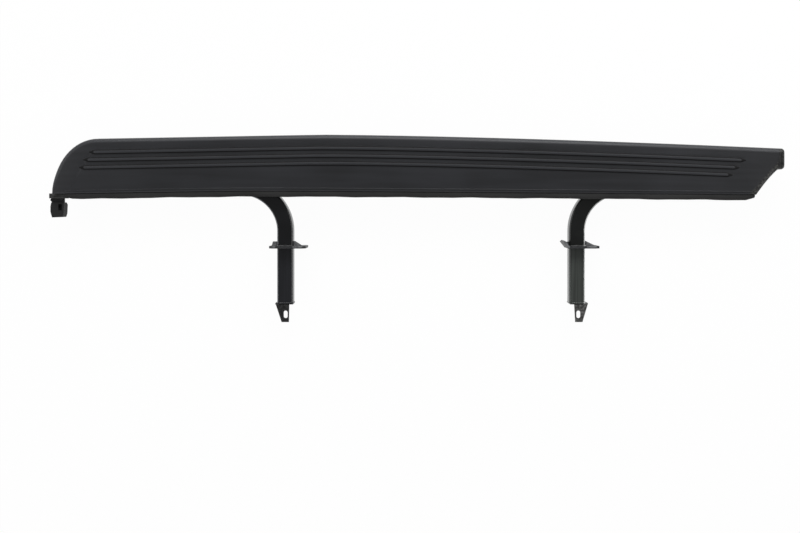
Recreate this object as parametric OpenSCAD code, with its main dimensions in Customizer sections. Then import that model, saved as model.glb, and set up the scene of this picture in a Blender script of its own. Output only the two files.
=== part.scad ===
// Side step for a large off-road car: a ribbed moulded tread board on a steel rail,
// carried by two bent square-tube arms. +X points to the rear of the car, +Y to the
// outer edge of the step and +Z up. The step stands on Z = 0, and the origin is under
// the middle of its overall length and depth.

/* [Overall] */
// Length over the front clip and the rear end cap
overall_len = 1846; // [1700:1:2000]
// Depth from the crest of the outer edge to the tips of the tabs
overall_depth = 475; // [460:1:540]
// Height of the outer skirt, from its foot up to the tread
skirt_height = 81; // [68:1:81]

/* [Tread cover] */
// Depth of the cover at the crest of its outer edge
cover_depth = 141.5; // [134:0.5:160]
// Wall thickness of the moulded cover
cover_wall = 3; // [2:0.25:3.5]
// Distance that the front clip reaches past the nose of the cover
clip_reach = 13; // [12:1:30]
// Length of the rounded nose, seen from above
nose_len = 112.5; // [95:0.5:140]
// Distance from the nose to the crest of the outer edge
crest_from_nose = 672; // [500:1:800]
// How much the outer edge falls from its crest to the nose curve
nose_fall = 10; // [0:0.5:15]
// How much the outer edge falls from its crest to the rear end
rear_fall = 35; // [10:1:40]
// Distance from the nose to the highest point of the inner edge
inner_peak_from_nose = 510; // [300:1:700]
// How much the inner edge falls towards the nose
inner_nose_fall = 7.5; // [0:0.5:12]
// How much the inner edge falls towards the rear end
inner_fall = 10; // [0:0.5:12]
// Depth of the square rear end, seen from above
rear_end_depth = 52; // [46:0.5:60]
// Length of the slanting cut at the rear, measured along the step
cut_run = 56.5; // [44:0.5:80]
// How far the slanting cut hollows in at its middle
cut_hollow = 2.5; // [0:0.5:6]
// Radius of the rolled outer edge
edge_roll = 12; // [9:0.5:14]
// Radius of the rolled inner edge
inner_roll = 4; // [3.8:0.1:5]
// How far the lower edge of the outer skirt tucks in
skirt_tuck = 8; // [0:0.5:10]
// How far the outer skirt bulges past the rolled edge
skirt_bulge = 2; // [0:0.25:4]
// Gap from the tops of the arms up to the inner skirt
skirt_gap = 4; // [2:0.5:8]

/* [Tread ribs] */
// Number of tread ribs
rib_count = 3; // [1:1:3]
// Distance between the crests of two ribs
rib_pitch = 19; // [18:0.5:24]
// Distance from the outer edge to the first rib's crest
rib_inset = 34; // [28:0.5:38]
// Width of a rib at its foot
rib_width = 11.5; // [8:0.5:14]
// Height of a rib above the tread
rib_height = 3; // [1.5:0.25:4]
// Gap from the nose of the cover to the front ends of the ribs
rib_front_gap = 54; // [45:1:80]
// Gap from the rear end cap to the rear end of the first rib
rib_rear_gap = 82; // [60:1:120]
// Length of the tapering end of a rib
rib_taper = 16; // [8:1:30]
// Width of the fine bead along the inner edge
bead_width = 4; // [2:0.5:5]
// Height of the fine bead
bead_height = 1.2; // [0.6:0.1:2]
// Distance from the inner edge to the middle of the bead
bead_inset = 7; // [6.5:0.5:10]

/* [Sill seal] */
// Reach of the soft lip past the inner skirt
seal_reach = 14; // [8:0.5:16]
// Thickness of the lip
seal_thick = 2.6; // [2:0.1:4]
// Height of the seal's foot on the inner skirt
seal_foot = 15; // [10:0.5:18]
// Depth of the waves of the free edge
seal_wave = 0.9; // [0:0.1:1.5]

/* [Rear end cap] */
// Length of the rear end cap
cap_len = 14; // [12:0.5:26]
// Running gap between the cap and the cover
cap_gap = 0.3; // [0.2:0.05:0.6]

/* [Support rail] */
// Width of the rail's trough
rail_width = 60; // [56:1:66]
// Sheet thickness of the rail
rail_thick = 2.5; // [2:0.25:3]
// Width of the lip that the cover is screwed to
rail_lip = 19; // [17:0.5:24]
// Height of the lip's top above the underside of the rail
rail_step = 11.5; // [9:0.5:14]
// Distance from the nose of the cover to the front end of the rail
rail_front_gap = 124; // [116:1:200]
// Distance from the rear end cap to the rear end of the rail
rail_rear_gap = 76; // [70:1:140]
// Gap between the rail and the inner skirt
rail_gap = 2.5; // [1:0.5:4]

/* [Arms] */
// Outer size of the square tube
tube_size = 40; // [34:1:42]
// Wall thickness of the tube
tube_wall = 3; // [2:0.25:4]
// Outer corner radius of the tube
tube_corner = 5; // [4.5:0.25:7]
// Radius of the bend at the middle of the tube
bend_radius = 112; // [95:1:125]
// Distance between the middles of the two arms
arm_spacing = 740; // [640:1:820]
// Distance from the middle of the step to the middle between the arms
arm_offset = 39; // [0:1:60]
// Length of the leg under the board, past the bend
leg_len = 140; // [125:1:170]
// Distance from the inner edge of the cover to the middle of the leg
leg_inset = 10; // [8:0.5:12]
// Height of the underside of the tubes above the ground
tube_lift = 8; // [4:0.5:9]
// Gap round a tube inside its welded flange
weld_gap = 0.1; // [0.05:0.05:0.3]

/* [Saddles and bolts] */
// Thickness of the saddle plates
saddle_thick = 5; // [4:0.5:6]
// Thread size of the saddle bolts
bolt_d = 10; // [8:0.5:10]
// Length of bolt that stands out of its nut
bolt_end = 2.1; // [1:0.1:4]
// Room between the ends of the bolts and the underside of the tread
bolt_room = 10; // [7:0.5:16]
// Clearance of a bolt in its hole, across the diameter
bolt_clear = 0.6; // [0.4:0.1:1]
// Shank size of the cover screws
screw_d = 4.2; // [3.5:0.1:4.5]
// Clearance of a screw in its hole, across the diameter
screw_clear = 0.2; // [0.1:0.05:0.4]
// Distance between the cover screws
screw_pitch = 195; // [150:5:260]

/* [Flanges] */
// Height of the flange plates
flange_height = 70; // [66:1:80]
// Thickness of the flange plates
flange_thick = 6; // [4:0.5:8]
// Reach of the wide wing past the middle of the tube
wing_wide = 54; // [52:1:62]
// Reach of the narrow wing past the middle of the tube
wing_narrow = 38; // [37:1:44]
// Distance from the start of the tube's bend to the flange's mounting face
flange_from_bend = 42.5; // [38:0.5:60]
// Width of the flange slots
slot_width = 9; // [6.5:0.5:10]
// Length of the flange slots
slot_len = 13; // [11:0.5:14]

/* [End brackets] */
// Thickness of the end plates and their tabs
end_thick = 3; // [2:0.5:4]
// Width of the end plates
end_width = 45; // [42:1:52]
// Reach of the tab past the end plate
tab_reach = 45; // [38:1:50]
// Width of the tab at its root
tab_root = 34; // [30:1:38]
// Width of the tab at its tip
tab_tip = 18; // [16:0.5:22]
// Width of the tab slot
tab_slot_width = 10; // [7:0.5:11]
// Length of the tab slot
tab_slot_len = 19; // [14:0.5:22]

/* [Front clip] */
// Width of the moulded clip
clip_width = 34; // [30:1:38]
// Length of the clip past the inner edge of the cover
clip_len = 59; // [54:1:75]
// Height of the clip's body
clip_height = 30; // [24:1:34]
// Thickness of the steel strap that carries the clip
strap_thick = 3; // [2:0.5:4]

/* [Hidden] */
$fn = 48;

// Places along the step
front_x = -overall_len / 2;
rear_x = overall_len / 2;
nose_x = front_x + clip_reach;
cap_x = rear_x - cap_len;
cut_x = cap_x - cut_run;
crest_x = nose_x + crest_from_nose;
inner_peak_x = nose_x + inner_peak_from_nose;
nose_end_x = nose_x + nose_len;
rail_x0 = nose_x + rail_front_gap;
rail_x1 = cap_x - rail_rear_gap;
front_arm_x = arm_offset - arm_spacing / 2;
rear_arm_x = arm_offset + arm_spacing / 2;

// Places across the step
crest_y = overall_depth / 2 - skirt_bulge;
tip_y = -overall_depth / 2;
nose_end_y = crest_y - nose_fall;
inner_peak_y = crest_y - cover_depth;
bow_power = 1.5;
inner_power = 1.3;
rail_y0 = inner_peak_y + cover_wall + rail_gap;
rail_y1 = rail_y0 + rail_width;
lip_y1 = rail_y1 + rail_lip;
leg_y = inner_peak_y + leg_inset;
bend_y = leg_y - bend_radius;
tube_end_y = tip_y + tab_reach + end_thick;
flange_y = bend_y - flange_from_bend;
flange_back = flange_y + flange_thick;

// Heights, stacked from the tubes up to the tread
washer_thick = 2;
head_high = bolt_d * 0.64;
nut_high = bolt_d * 0.84;
tube_top = tube_lift + tube_size;
rail_z0 = tube_top + saddle_thick;
web_top = rail_z0 + rail_thick;
lip_top = rail_z0 + rail_step;
deck_under = web_top + washer_thick + nut_high + bolt_end + bolt_room;
tread_height = deck_under + cover_wall;
skirt_foot = tread_height - skirt_height;
inner_skirt_z = tube_top + skirt_gap;

function lerp(a, b, t) = a + (b - a) * t;
function ease(t) = let(u = min(1, max(0, t))) u * u * (3 - 2 * u);

// The cover's outline, seen from above

// Outer edge behind the nose: a straight rise to the crest, then a long bowed fall
function bow_y(x) = x < crest_x
    ? crest_y - nose_fall * (crest_x - x) / (crest_x - nose_end_x)
    : crest_y - rear_fall * pow((x - crest_x) / (rear_x - crest_x), bow_power);

// Inner edge: a shallow arch that falls from its peak towards both ends
function inner_y(x) = let(ahead = x < inner_peak_x, end_x = ahead ? nose_x : rear_x)
    inner_peak_y - (ahead ? inner_nose_fall : inner_fall)
        * pow((x - inner_peak_x) / (end_x - inner_peak_x), inner_power);

nose_low_y = inner_y(nose_x);
nose_depth = nose_end_y - nose_low_y;
rear_low_y = bow_y(rear_x) - rear_end_depth;
cut_low_y = inner_y(cut_x);

// Slanting cut: a line from the inner edge to the end cap, hollowed in the middle
function cut_point(t) = let(sag = 4 * cut_hollow * t * (1 - t), dx = cap_x - cut_x,
    dy = rear_low_y - cut_low_y, len = norm([dx, dy]))
    [cut_x + dx * t - sag * dy / len, cut_low_y + dy * t + sag * dx / len];

inner_steps = 18;
inner_step = (cut_x - nose_x) / inner_steps;
cut_steps = 6;
outer_steps = 18;
nose_steps = 16;

outline = concat(
    [for (i = [0 : inner_steps - 1])
        let(x = nose_x + i * inner_step) [x, inner_y(x)]],
    [for (i = [0 : cut_steps]) cut_point(i / cut_steps)],
    [[rear_x, rear_low_y]],
    [for (i = [0 : outer_steps])
        let(x = lerp(rear_x, nose_end_x, i / outer_steps)) [x, bow_y(x)]],
    [for (i = [1 : nose_steps - 1]) let(a = 90 + 90 * i / nose_steps)
        [nose_end_x + nose_len * cos(a), nose_low_y + nose_depth * sin(a)]]);
points_n = len(outline);

// Direction into the cover at each point, long enough to keep every side parallel
function edge_normal(i) = let(a = outline[i % points_n], b = outline[(i + 1) % points_n],
    d = b - a) [-d.y, d.x] / norm(d);
miters = [for (i = [0 : points_n - 1])
    let(n1 = edge_normal(i + points_n - 1), n2 = edge_normal(i), m = n1 + n2) m * 2 / (m * m)];

// The inner side has a short skirt and a tight edge, the outer side a deep and round one
skirt_turn_low = 6;
skirt_turn_high = 62;
function outer_share(y) =
    ease((y - nose_low_y - skirt_turn_low) / (skirt_turn_high - skirt_turn_low));
outerness = [for (p = outline) outer_share(p.y)];
function roll_at(i) = lerp(inner_roll, edge_roll, outerness[i]);
function skirt_low_at(i) = lerp(inner_skirt_z, skirt_foot, outerness[i]);

function inset_point(i, inset, z) = let(p = outline[i] + miters[i] * inset) [p.x, p.y, z];

// Side view of the outer skirt: it tucks in at its foot and bulges most at bulge_share
bulge_share = 0.3;
skirt_shares = [0, 0.08, 0.18, bulge_share, 0.65, 1];
function skirt_inset(share) = share < bulge_share
    ? lerp(skirt_tuck, -skirt_bulge, sin(share / bulge_share * 90))
    : -skirt_bulge * cos((share - bulge_share) / (1 - bulge_share) * 90);

// One ring of the skirt, at a share of its height
function skirt_ring(share, wall) = [for (i = [0 : points_n - 1])
    let(low = skirt_low_at(i), high = tread_height - roll_at(i))
    inset_point(i, outerness[i] * skirt_inset(share) + wall, lerp(low, high, share))];

// One ring of the rolled edge, at an angle from upright
function roll_ring(angle, wall) = [for (i = [0 : points_n - 1])
    let(r = roll_at(i), q = r - wall)
    inset_point(i, r - q * cos(angle), tread_height - r + q * sin(angle))];

outer_angles = [18, 36, 54, 72, 90];
inner_angles = [30, 60, 90];

// Triangles between ring k and ring k + 1 of the same size
function band(k, n, flip) = [for (i = [0 : n - 1], half = [0, 1])
    let(j = (i + 1) % n, a = k * n + i, b = k * n + j, c = a + n, d = b + n,
        t = half == 0 ? [a, c, b] : [b, c, d])
    flip ? [t[0], t[2], t[1]] : t];

// Short flat ring where the rolled edge meets the tread plate
plate_lap = 0.5;
function flat_ring(reach, z) = [for (i = [0 : points_n - 1])
    inset_point(i, roll_at(i) + reach, z)];

// Skirt and rolled edge of the hollow moulding, open below and joined to the tread plate
module cover_rim() {
    outside = concat([for (s = skirt_shares) skirt_ring(s, 0)],
        [for (a = outer_angles) roll_ring(a, 0)], [flat_ring(plate_lap, tread_height)]);
    inside = concat([for (s = skirt_shares) skirt_ring(s, cover_wall)],
        [for (a = inner_angles) roll_ring(a, cover_wall)], [flat_ring(plate_lap, deck_under)]);
    // once round the wall: up the outside, over, down the inside and across the foot
    rings = concat(outside, [for (k = [len(inside) - 1 : -1 : 0]) inside[k]]);
    n = points_n;
    last = len(rings) - 1;
    faces = concat([for (k = [0 : last - 1]) each band(k, n, false)],
        [for (i = [0 : n - 1], half = [0, 1])
            let(j = (i + 1) % n, a = i, b = j, c = last * n + i, d = last * n + j)
            half == 0 ? [a, b, c] : [b, d, c]]);
    polyhedron(points = [for (r = rings) each r], faces = faces);
}

module tread_plate() {
    translate([0, 0, deck_under])
        linear_extrude(cover_wall)
            polygon([for (i = [0 : points_n - 1])
                outline[i] + miters[i] * (roll_at(i) + plate_lap / 2)]);
}

// A ridge swept along a line on the tread, given by the points of its middle
ridge_sink = 0.6;
ridge_flank = 0.16;
ridge_shoulder = 0.32;
shoulder_rise = 0.75;
ridge_tip_width = 0.35;
ridge_tip_height = 0.05;
function half_ridge(w, h) = [[w / 2, -ridge_sink], [w / 2, 0],
    [w / 2 - ridge_flank * w, shoulder_rise * h], [w / 2 - ridge_shoulder * w, h]];
function ridge_section(w, h) = let(half = half_ridge(w, h))
    concat([for (q = half) [-q.x, q.y]], [for (i = [3 : -1 : 0]) half[i]]);
module ridge(path, width, height, taper) {
    m = len(ridge_section(width, height));
    n = len(path);
    first = path[0].x;
    last = path[n - 1].x;
    points = [for (p = path)
        let(t = ease(min(p.x - first, last - p.x) / taper),
            s = ridge_section(lerp(ridge_tip_width, 1, t) * width,
                lerp(ridge_tip_height, 1, t) * height))
        each [for (q = s) [p.x, p.y + q.x, tread_height + q.y]]];
    faces = concat(
        [for (k = [0 : n - 2]) each band(k, m, true)],
        [[for (i = [0 : m - 1]) m - 1 - i]],
        [[for (i = [0 : m - 1]) (n - 1) * m + i]]);
    polyhedron(points = points, faces = faces);
}

// Stations of a ridge: close together in its tapering ends
ridge_steps = 20;
function stations(a, b, taper) = concat(
    [for (t = [0, 0.35, 0.7]) a + t * taper],
    [for (i = [0 : ridge_steps]) lerp(a + taper, b - taper, i / ridge_steps)],
    [for (t = [0.7, 0.35, 0]) b - t * taper]);

// Where the nose curve lies at a given distance across the step
function nose_edge_x(y) = nose_end_x
    - nose_len * sqrt(max(0, 1 - pow((y - nose_low_y) / nose_depth, 2)));

module tread_rib(k) {
    away = rib_inset + k * rib_pitch;
    start = nose_edge_x(bow_y(nose_end_x) - away) + rib_front_gap;
    slant = cut_run / (rear_low_y - cut_low_y);
    finish = cap_x - rib_rear_gap - k * rib_pitch * slant;
    path = [for (x = stations(start, finish, rib_taper)) [x, bow_y(x) - away]];
    ridge(path, rib_width, rib_height, rib_taper);
}

// The bead and the seal start and end a little inside the inner edge's corners
edge_trim_start = 30;
bead_end_gap = 2;
module inner_bead() {
    start = nose_x + edge_trim_start;
    finish = cut_x - bead_end_gap;
    path = [for (x = stations(start, finish, rib_taper)) [x, inner_y(x) + bead_inset]];
    ridge(path, bead_width, bead_height, rib_taper);
}

// Underside of the cover: screw bosses, cross ribs and a long web over the rail
boss_d = 12;
boss_y = rail_y1 + rail_lip / 2;
screw_end_room = 30;
screw_room = rail_x1 - rail_x0 - 2 * screw_end_room;
screw_n = floor(screw_room / screw_pitch) + 1;
screw_xs = [for (i = [0 : screw_n - 1])
    (rail_x0 + rail_x1) / 2 + (i - (screw_n - 1) / 2) * screw_pitch];
join = 0.5;

module cover_bosses() {
    for (x = screw_xs)
        translate([x, boss_y, lip_top])
            cylinder(d = boss_d, h = deck_under - lip_top + join);
}

cross_rib = 2.5;
cross_rib_gap = 2;
cross_rib_low = 38;
cross_rib_notch = 4;
module cover_cross_ribs() {
    root = lip_y1 + cross_rib_gap;
    for (i = [0 : screw_n - 2]) {
        x = (screw_xs[i] + screw_xs[i + 1]) / 2;
        wall_y = bow_y(x) - cover_wall / 2;
        roll_y = bow_y(x) - edge_roll;
        along_x(x - cross_rib / 2, cross_rib)
            polygon([[root, deck_under + join], [roll_y, deck_under + join],
                [wall_y, tread_height - edge_roll - join], [wall_y, deck_under - cross_rib_low],
                [root, lip_top - cross_rib_notch]]);
    }
}

web_end_room = 10;
web_gap = 0.3;
module cover_web() {
    translate([rail_x0 + web_end_room, (rail_y0 + rail_y1 - cross_rib) / 2, web_top + web_gap])
        cube([rail_x1 - rail_x0 - 2 * web_end_room, cross_rib,
            deck_under - web_top - web_gap + join]);
}

// Pilot holes for the screws from below
pilot_end = 2;
pilot_depth = deck_under - lip_top - pilot_end;
cap_pilot_depth = 2;
module screw_hole(x, y, z, h) {
    translate([x, y, z - 1]) cylinder(d = screw_d + screw_clear, h = h + 1);
}
module cover_pilots() {
    for (x = screw_xs) screw_hole(x, boss_y, lip_top, pilot_depth);
    for (p = cap_screw_places) screw_hole(p.x, p.y, deck_under, cap_pilot_depth);
    for (p = strap_screw_places) screw_hole(p.x, p.y, strap_top, pilot_depth);
}

module tread_cover() {
    color([0.17, 0.18, 0.19])
        difference() {
            union() {
                cover_rim();
                tread_plate();
                for (k = [0 : rib_count - 1]) tread_rib(k);
                inner_bead();
                cover_bosses();
                cover_cross_ribs();
                cover_web();
                strap_bosses();
            }
            translate([cap_x, 0, skirt_foot - 1])
                cube([cap_len + skirt_bulge + 1, overall_depth, skirt_height + 2]);
            cover_pilots();
        }
}

// Soft lip along the inner edge, with a foot on the inner skirt

seal_split = 4;
seal_end_gap = 3;
seal_x0 = nose_x + edge_trim_start;
seal_x1 = cut_x - seal_end_gap;
seal_top = tread_height - inner_roll;
seal_end = 26;
seal_seat = 0.1;
seal_xs = concat([seal_x0],
    [for (i = [1 : inner_steps * seal_split - 1])
        let(x = nose_x + i * inner_step / seal_split) if (x > seal_x0 + 5 && x < seal_x1 - 5) x],
    [seal_x1]);

// The cover's inner edge as built, straight between two points of its outline
function inner_wall_y(x) = let(k = floor((x - nose_x) / inner_step), a = nose_x + k * inner_step)
    lerp(inner_y(a), inner_y(a + inner_step), (x - a) / inner_step);

// Two overlaid ripples of the free edge
function wave(x) = seal_wave * (0.6 * sin(x * 1.9) + 0.4 * sin(x * 4.3 + 40));
function seal_section(reach) = [[0, seal_top - seal_foot], [0, seal_top],
    [-1.5, seal_top + 1.2], [-0.45 * reach, seal_top + 0.6], [-0.8 * reach, seal_top - 1.6],
    [-reach, seal_top - 4.6], [-reach + 0.6, seal_top - 5.6],
    [-0.75 * reach, seal_top - 1.6 - seal_thick], [-0.42 * reach, seal_top + 0.2 - seal_thick],
    [-seal_thick, seal_top - 1.5 - seal_thick], [-seal_thick + 0.6, seal_top - seal_foot]];

module sill_seal() {
    m = len(seal_section(seal_reach));
    n = len(seal_xs);
    points = [for (x = seal_xs)
        let(t = ease(min(x - seal_x0, seal_x1 - x) / seal_end),
            s = seal_section(lerp(0.55, 1, t) * seal_reach + t * wave(x)))
        each [for (q = s) [x, inner_wall_y(x) - seal_seat + q.x, q.y]]];
    faces = concat(
        [for (k = [0 : n - 2]) each band(k, m, false)],
        [[for (i = [0 : m - 1]) i]],
        [[for (i = [0 : m - 1]) n * m - 1 - i]]);
    color([0.22, 0.21, 0.2])
        polyhedron(points = points, faces = faces);
}

// Rear end cap: closes the end of the cover and plugs into it

cap_high_y = bow_y(cap_x + cap_len / 2);
cap_low_y = rear_low_y;
cap_low_roll = lerp(inner_roll, edge_roll, outer_share(cap_low_y));
cap_tongue = 14;
tongue_y0 = cap_low_y + cap_low_roll + 1;
tongue_y1 = cap_high_y - edge_roll;
tongue_z = deck_under - cover_wall - cap_gap;
cap_screw_places = [for (s = [0.3, 0.7]) [cap_x - cap_tongue / 2, lerp(tongue_y0, tongue_y1, s)]];

// Section of the cap across the step, moved in by a wall thickness
function cap_section(inset) = let(lo = cap_low_y + inset, hi = cap_high_y - inset,
    foot = skirt_foot + inset, top = tread_height - inset,
    r = edge_roll - inset, q = max(1, cap_low_roll - inset))
    concat([[lo, foot]],
        [for (s = skirt_shares) [hi - skirt_inset(s), lerp(foot, top - r, s)]],
        [for (a = [18 : 18 : 90]) [hi - r + r * cos(a), top - r + r * sin(a)]],
        [for (a = [90 : 30 : 180]) [lo + q + q * cos(a), top - q + q * sin(a)]]);

module along_x(x, len) {
    translate([x, 0, 0])
        rotate([90, 0, 90])
            linear_extrude(len)
                children();
}

cap_round = 4;
cap_end_wall = cap_len - cap_round - cover_wall;
groove_width = 1.6;
groove_deep = 0.8;
module cap_block() {
    along_x(cap_x + cap_gap, cap_len - cap_round - cap_gap) polygon(cap_section(0));
    hull() {
        along_x(rear_x - cap_round, 0.1) polygon(cap_section(0));
        along_x(rear_x - 0.1, 0.1) polygon(cap_section(cap_round * 0.6));
    }
}
module rear_end_cap() {
    color([0.16, 0.17, 0.18])
        difference() {
            union() {
                difference() {
                    cap_block();
                    along_x(cap_x - 1, cap_end_wall + 1) polygon(cap_section(cover_wall));
                }
                translate([cap_x - cap_tongue, tongue_y0, tongue_z])
                    cube([cap_tongue + cap_end_wall + join, tongue_y1 - tongue_y0, cover_wall]);
            }
            for (p = cap_screw_places) screw_hole(p.x, p.y, tongue_z, cover_wall + 1);
            for (share = [0.3, 0.55])
                translate([cap_x + cap_len * share, 0, tread_height - groove_deep])
                    cube([groove_width, overall_depth, groove_deep + 1]);
        }
}

// Steel rail under the tread: a trough with a screw lip on its outer side

rail_section = [[rail_y0, rail_z0], [rail_y1, rail_z0], [rail_y1, lip_top - rail_thick],
    [lip_y1, lip_top - rail_thick], [lip_y1, lip_top], [rail_y1 - rail_thick, lip_top],
    [rail_y1 - rail_thick, web_top], [rail_y0 + rail_thick, web_top],
    [rail_y0 + rail_thick, deck_under], [rail_y0, deck_under]];

module support_rail() {
    color([0.2, 0.2, 0.21])
        difference() {
            along_x(rail_x0, rail_x1 - rail_x0) polygon(rail_section);
            for (x = screw_xs) screw_hole(x, boss_y, lip_top - rail_thick, rail_thick + 1);
            both_arms() bolt_holes(rail_z0, rail_thick);
        }
}

// Arms. Each is drawn as the front one, with its leg running forwards

module front_place() {
    translate([front_arm_x, 0, 0]) children();
}
module rear_place() {
    translate([rear_arm_x, 0, 0]) mirror([1, 0, 0]) children();
}
module both_arms() {
    front_place() children();
    rear_place() children();
}

arc_steps = 4;
function round_square(size, r) = [for (c = [0 : 3], i = [0 : arc_steps])
    let(a = 90 * c + 90 * i / arc_steps, h = size / 2 - r,
        cx = (c == 0 || c == 3) ? h : -h, cy = c < 2 ? h : -h)
    [cx + r * cos(a), cy + r * sin(a)]];

module tube_section() {
    difference() {
        polygon(round_square(tube_size, tube_corner));
        polygon(round_square(tube_size - 2 * tube_wall, tube_corner - tube_wall));
    }
}

tube_mid = tube_lift + tube_size / 2;
leg_end = -bend_radius - leg_len;

module arm() {
    // straight part, from the end bracket to the bend
    translate([0, bend_y, tube_mid])
        rotate([90, 0, 0])
            linear_extrude(bend_y - tube_end_y)
                tube_section();
    // bend
    translate([-bend_radius, bend_y, tube_mid])
        rotate_extrude(angle = 90, $fn = 96)
            translate([bend_radius, 0])
                tube_section();
    // leg under the board
    translate([leg_end, leg_y, tube_mid])
        rotate([90, 0, 90])
            linear_extrude(leg_len)
                tube_section();
}

module front_arm() {
    color([0.13, 0.13, 0.14]) front_place() arm();
}
module rear_arm() {
    color([0.2, 0.21, 0.2]) rear_place() arm();
}

// Plugs in the open ends of the legs

plug_head = 3;
plug_rim = 0.5;
plug_depth = 14;
plug_fit = 0.2;
plug_wall = 2;
module plug() {
    skirt = tube_size - 2 * (tube_wall + plug_fit);
    skirt_corner = max(plug_rim, tube_corner - tube_wall - plug_fit);
    translate([leg_end - plug_head, leg_y, tube_mid])
        rotate([90, 0, 90])
            difference() {
                union() {
                    linear_extrude(plug_head)
                        polygon(round_square(tube_size - 2 * plug_rim, tube_corner));
                    linear_extrude(plug_head + plug_depth)
                        polygon(round_square(skirt, skirt_corner));
                }
                translate([0, 0, plug_head])
                    linear_extrude(plug_depth + 1)
                        polygon(round_square(skirt - 2 * plug_wall, plug_rim));
            }
}
module front_plug() {
    color([0.1, 0.1, 0.1]) front_place() plug();
}
module rear_plug() {
    color([0.1, 0.1, 0.1]) rear_place() plug();
}

// Saddle plates on the legs, bolted to the rail

saddle_past_leg = 42;
saddle_from_bend = 8;
saddle_edge = 3;
saddle_corner = 8;
saddle_x0 = leg_end - saddle_past_leg;
saddle_x1 = -bend_radius - saddle_from_bend;
saddle_y0 = rail_y0;
saddle_y1 = rail_y1 - saddle_edge;

// Two bolts stand in a row clear of the leg, and one past its end
bolt_in = 24;
end_bolt_in = 17;
bolt_row_y = rail_y1 - 16;
end_bolt_y = rail_y0 + 14;
bolt_places = [[saddle_x1 - bolt_in, bolt_row_y], [saddle_x0 + bolt_in, bolt_row_y],
    [saddle_x0 + end_bolt_in, end_bolt_y]];

module bolt_holes(z, h) {
    for (p = bolt_places)
        translate([p.x, p.y, z - 1]) cylinder(d = bolt_d + bolt_clear, h = h + 2);
}

// A rectangle with its corners cut off
function cut_corners(x0, y0, x1, y1, c) = [[x0, y0 + c], [x0 + c, y0], [x1 - c, y0],
    [x1, y0 + c], [x1, y1 - c], [x1 - c, y1], [x0 + c, y1], [x0, y1 - c]];

module saddle() {
    difference() {
        translate([0, 0, tube_top])
            linear_extrude(saddle_thick)
                polygon(cut_corners(saddle_x0, saddle_y0, saddle_x1, saddle_y1, saddle_corner));
        bolt_holes(tube_top, saddle_thick);
    }
}
module front_saddle() {
    color([0.15, 0.15, 0.16]) front_place() saddle();
}
module rear_saddle() {
    color([0.15, 0.15, 0.16]) rear_place() saddle();
}

// Bolts from below, with a washer and a nut on the rail's web

head_flat = bolt_d * 1.7;
washer_d = bolt_d * 2;
module hex(flat, h) {
    cylinder(d = flat / cos(30), h = h, $fn = 6);
}
module bolts() {
    for (p = bolt_places)
        translate([p.x, p.y, tube_top - head_high]) {
            hex(head_flat, head_high);
            cylinder(d = bolt_d, h = head_high + deck_under - bolt_room - tube_top);
        }
}
module washers() {
    for (p = bolt_places)
        translate([p.x, p.y, web_top])
            difference() {
                cylinder(d = washer_d, h = washer_thick);
                translate([0, 0, -1]) cylinder(d = bolt_d + bolt_clear, h = washer_thick + 2);
            }
}
nut_clear = 0.2;
module nuts() {
    for (p = bolt_places)
        translate([p.x, p.y, web_top + washer_thick])
            difference() {
                hex(head_flat, nut_high);
                translate([0, 0, -1]) cylinder(d = bolt_d + nut_clear, h = nut_high + 2);
            }
}
module front_bolts() {
    color([0.6, 0.6, 0.62]) front_place() bolts();
}
module rear_bolts() {
    color([0.6, 0.6, 0.62]) rear_place() bolts();
}
module front_washers() {
    color([0.65, 0.65, 0.67]) front_place() washers();
}
module rear_washers() {
    color([0.65, 0.65, 0.67]) rear_place() washers();
}
module front_nuts() {
    color([0.6, 0.6, 0.62]) front_place() nuts();
}
module rear_nuts() {
    color([0.6, 0.6, 0.62]) rear_place() nuts();
}

// Flange plates. Both have the wide wing to the rear of the car

flange_corner = 8;
slot_narrow = tube_size / 2 + (wing_narrow - tube_size / 2) / 2;
slot_wide = tube_size / 2 + (wing_wide - tube_size / 2) / 2;
window = tube_size + 2 * weld_gap;

module slot(len, width) {
    square([len - width, width], center = true);
    for (s = [-1, 1]) translate([s * (len - width) / 2, 0]) circle(d = width);
}

module tube_window() {
    translate([0, tube_mid]) polygon(round_square(window, tube_corner + weld_gap));
}

// Outline of a plate between two wings, seen from the end of the tubes
module plate_outline(left, right) {
    difference() {
        polygon([[left, 0], [right, 0], [right, flange_height - flange_corner],
            [right - flange_corner, flange_height], [left + flange_corner, flange_height],
            [left, flange_height - flange_corner]]);
        tube_window();
    }
}
module upright(y) {
    translate([0, y + flange_thick, 0])
        rotate([90, 0, 0])
            linear_extrude(flange_thick)
                children();
}

module front_flange() {
    color([0.12, 0.12, 0.13])
        translate([front_arm_x, 0, 0])
            upright(flange_y)
                difference() {
                    plate_outline(-wing_narrow, wing_wide);
                    translate([-slot_narrow, tube_mid]) slot(slot_len, slot_width);
                    translate([slot_wide, tube_mid]) slot(slot_len, slot_width);
                }
}

// The rear flange has two upright slots, and its narrow wing is folded towards the board
rear_slot_drop = 10;
rear_slot_spacing = 32;
rear_slot_low = tube_mid - rear_slot_drop;
fold_angle = 52;
fold_room = 1;
fold_root = tube_size / 2 + flange_thick * sin(fold_angle) + fold_room;
fold_wing = (wing_narrow - fold_root) / cos(fold_angle);
fold_tip = [-wing_narrow, flange_y + fold_wing * sin(fold_angle)];
fold_side = flange_thick * [sin(fold_angle), cos(fold_angle)];

// Inner face of the folded wing, at a place across the step
function wing_inner_x(y) = fold_side.x - fold_root - (y - flange_y - fold_side.y) / tan(fold_angle);

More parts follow.
